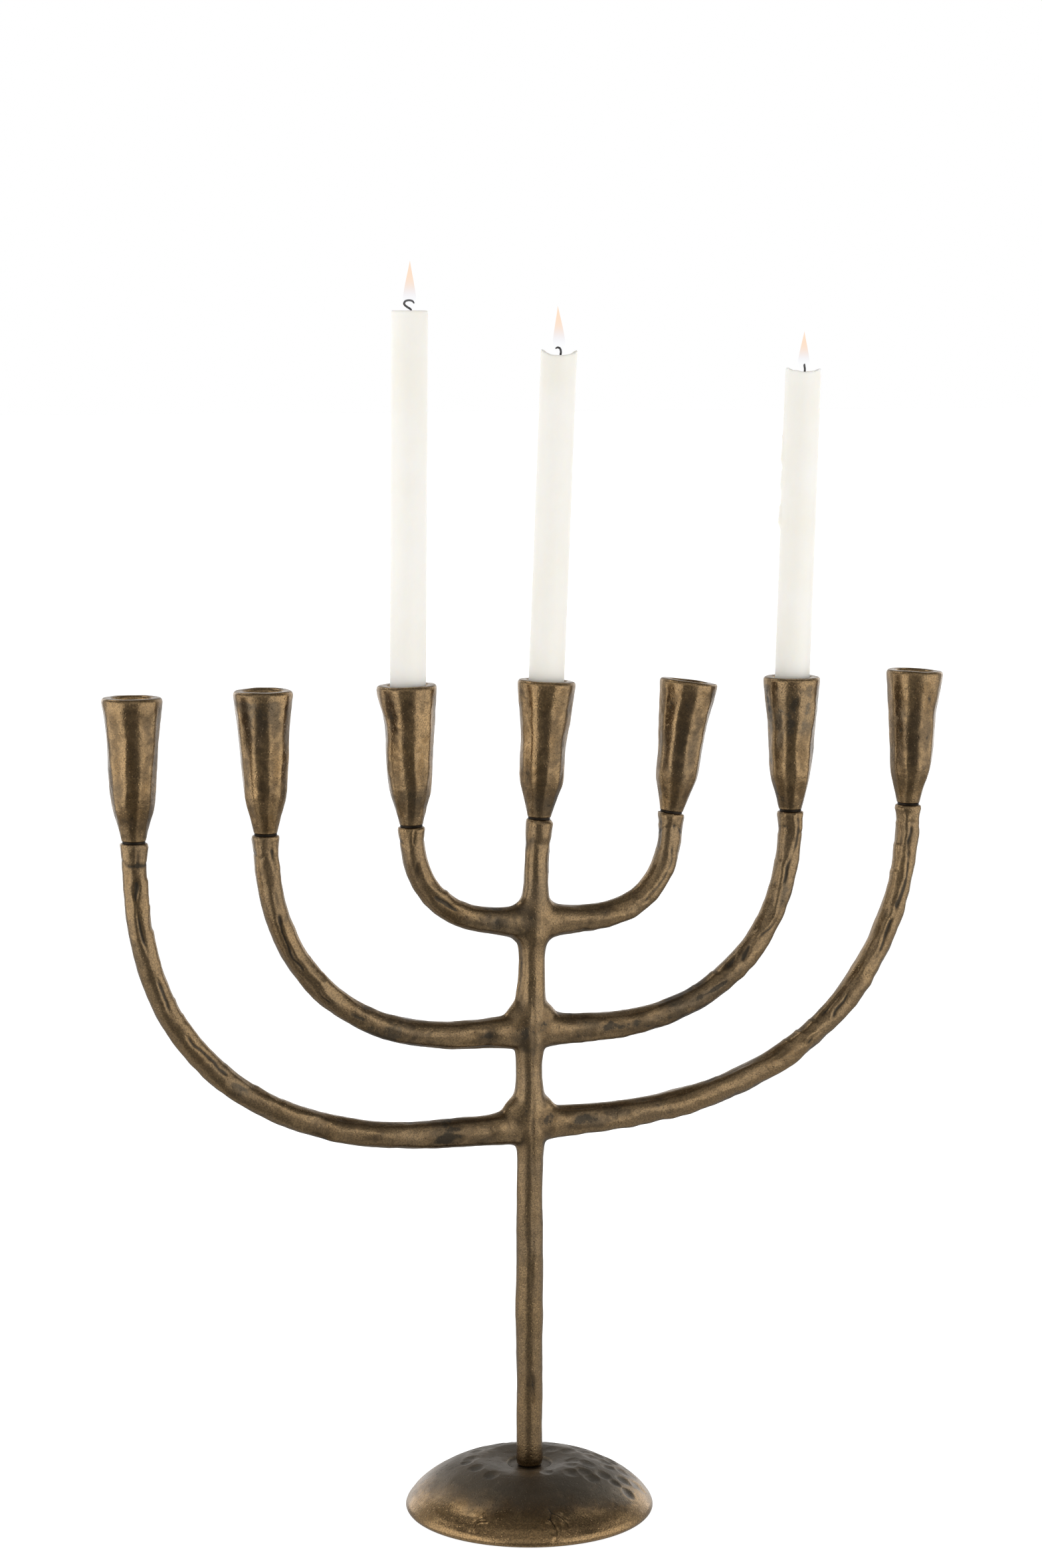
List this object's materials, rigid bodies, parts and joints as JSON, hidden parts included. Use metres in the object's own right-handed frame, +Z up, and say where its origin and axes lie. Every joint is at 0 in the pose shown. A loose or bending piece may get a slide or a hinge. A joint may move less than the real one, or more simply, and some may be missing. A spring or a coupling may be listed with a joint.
{
  "type": "menorah",
  "caption": "Branched candle holder of antiqued cast metal with curved arms, screw-on flared cups, a hammered round base and three burning candles.",
  "frame": {"origin": "centre of the base's underside", "axes": "+Z up; the branches lie along X, with cup 1 at -X and cup 7 at +X; +Y points to the back"},
  "size_m": [0.5465, 0.157, 0.7592],
  "materials": {
    "antiqued_brass": "sand-cast and hammered, dark brown patina in the hollows, worn gold on raised places",
    "steel": "plain zinc-plated steel",
    "dark_washer": "blackened, matt",
    "candle_wax": "ivory-white candle wax with a soft sheen",
    "wick": "charred braided cotton",
    "felt": "dark pressed felt"
  },
  "bodies": {
    "stand": {"base_dome": "antiqued_brass", "felt_ring": "felt", "stem": "antiqued_brass", "base_bolt": "steel", "base_washer": "steel", "lock_washer": "steel", "arm_outer_left": "antiqued_brass", "arm_middle_left": "antiqued_brass", "arm_inner_left": "antiqued_brass", "arm_inner_right": "antiqued_brass", "arm_middle_right": "antiqued_brass", "arm_outer_right": "antiqued_brass", "cup_stud_1": "steel", "cup_stud_2": "steel", "cup_stud_3": "steel", "cup_stud_4": "steel", "cup_stud_5": "steel", "cup_stud_6": "steel", "cup_stud_7": "steel"},
    "washer_1": {"cup_washer_1": "dark_washer"},
    "cup_1": {"cup_1": "antiqued_brass"},
    "washer_2": {"cup_washer_2": "dark_washer"},
    "cup_2": {"cup_2": "antiqued_brass"},
    "washer_3": {"cup_washer_3": "dark_washer"},
    "cup_3": {"cup_3": "antiqued_brass"},
    "washer_4": {"cup_washer_4": "dark_washer"},
    "cup_4": {"cup_4": "antiqued_brass"},
    "washer_5": {"cup_washer_5": "dark_washer"},
    "cup_5": {"cup_5": "antiqued_brass"},
    "washer_6": {"cup_washer_6": "dark_washer"},
    "cup_6": {"cup_6": "antiqued_brass"},
    "washer_7": {"cup_washer_7": "dark_washer"},
    "cup_7": {"cup_7": "antiqued_brass"},
    "candle_3": {"candle_3": "candle_wax", "wick_3": "wick"},
    "candle_4": {"candle_4": "candle_wax", "wick_4": "wick"},
    "candle_6": {"candle_6": "candle_wax", "wick_6": "wick"}
  },
  "joints": [
    {"name": "cup_1_rise", "type": "slide", "parent": "stand", "child": "washer_1", "axis": [0, 0, 1], "range_m": [0, 0.0075]},
    {"name": "cup_1_unscrew", "type": "hinge", "parent": "washer_1", "child": "cup_1", "pos_m": [-0.2495, 0, 0.4385], "axis": [0, 0, 1], "range_deg": [0, 2160]},
    {"name": "cup_2_rise", "type": "slide", "parent": "stand", "child": "washer_2", "axis": [-0.0087, 0, 1], "range_m": [0, 0.0075]},
    {"name": "cup_2_unscrew", "type": "hinge", "parent": "washer_2", "child": "cup_2", "pos_m": [-0.1685, 0, 0.4395], "axis": [-0.0087, 0, 1], "range_deg": [0, 2160]},
    {"name": "cup_3_rise", "type": "slide", "parent": "stand", "child": "washer_3", "axis": [-0.0262, 0, 0.9997], "range_m": [0, 0.0075]},
    {"name": "cup_3_unscrew", "type": "hinge", "parent": "washer_3", "child": "cup_3", "pos_m": [-0.0765, 0, 0.4405], "axis": [-0.0262, 0, 0.9997], "range_deg": [0, 2160]},
    {"name": "cup_4_rise", "type": "slide", "parent": "stand", "child": "washer_4", "axis": [0.0577, 0, 0.9983], "range_m": [0, 0.0075]},
    {"name": "cup_4_unscrew", "type": "hinge", "parent": "washer_4", "child": "cup_4", "pos_m": [0.0062, 0, 0.4415], "axis": [0.0577, 0, 0.9983], "range_deg": [0, 2160]},
    {"name": "cup_5_rise", "type": "slide", "parent": "stand", "child": "washer_5", "axis": [0.1374, 0, 0.9905], "range_m": [0, 0.0075]},
    {"name": "cup_5_unscrew", "type": "hinge", "parent": "washer_5", "child": "cup_5", "pos_m": [0.094, 0, 0.4415], "axis": [0.1374, 0, 0.9905], "range_deg": [0, 2160]},
    {"name": "cup_6_rise", "type": "slide", "parent": "stand", "child": "washer_6", "axis": [0, 0, 1], "range_m": [0, 0.0075]},
    {"name": "cup_6_unscrew", "type": "hinge", "parent": "washer_6", "child": "cup_6", "pos_m": [0.1754, 0, 0.439], "axis": [0, 0, 1], "range_deg": [0, 2160]},
    {"name": "cup_7_rise", "type": "slide", "parent": "stand", "child": "washer_7", "axis": [0.0384, 0, 0.9993], "range_m": [0, 0.0075]},
    {"name": "cup_7_unscrew", "type": "hinge", "parent": "washer_7", "child": "cup_7", "pos_m": [0.2576, 0, 0.4395], "axis": [0.0384, 0, 0.9993], "range_deg": [0, 2160]},
    {"name": "candle_3_lift", "type": "slide", "parent": "cup_3", "child": "candle_3", "axis": [0.0087, 0, 1], "range_m": [0, 0.06]},
    {"name": "candle_4_lift", "type": "slide", "parent": "cup_4", "child": "candle_4", "axis": [0.0401, 0, 0.9992], "range_m": [0, 0.06]},
    {"name": "candle_6_lift", "type": "slide", "parent": "cup_6", "child": "candle_6", "axis": [0.0297, 0, 0.9996], "range_m": [0, 0.06]}
  ],
  "couplings": [
    {"joint": "cup_1_unscrew", "follows": "cup_1_rise", "rad_per_m": 5026.5},
    {"joint": "cup_2_unscrew", "follows": "cup_2_rise", "rad_per_m": 5026.5},
    {"joint": "cup_3_unscrew", "follows": "cup_3_rise", "rad_per_m": 5026.5},
    {"joint": "cup_4_unscrew", "follows": "cup_4_rise", "rad_per_m": 5026.5},
    {"joint": "cup_5_unscrew", "follows": "cup_5_rise", "rad_per_m": 5026.5},
    {"joint": "cup_6_unscrew", "follows": "cup_6_rise", "rad_per_m": 5026.5},
    {"joint": "cup_7_unscrew", "follows": "cup_7_rise", "rad_per_m": 5026.5}
  ]
}
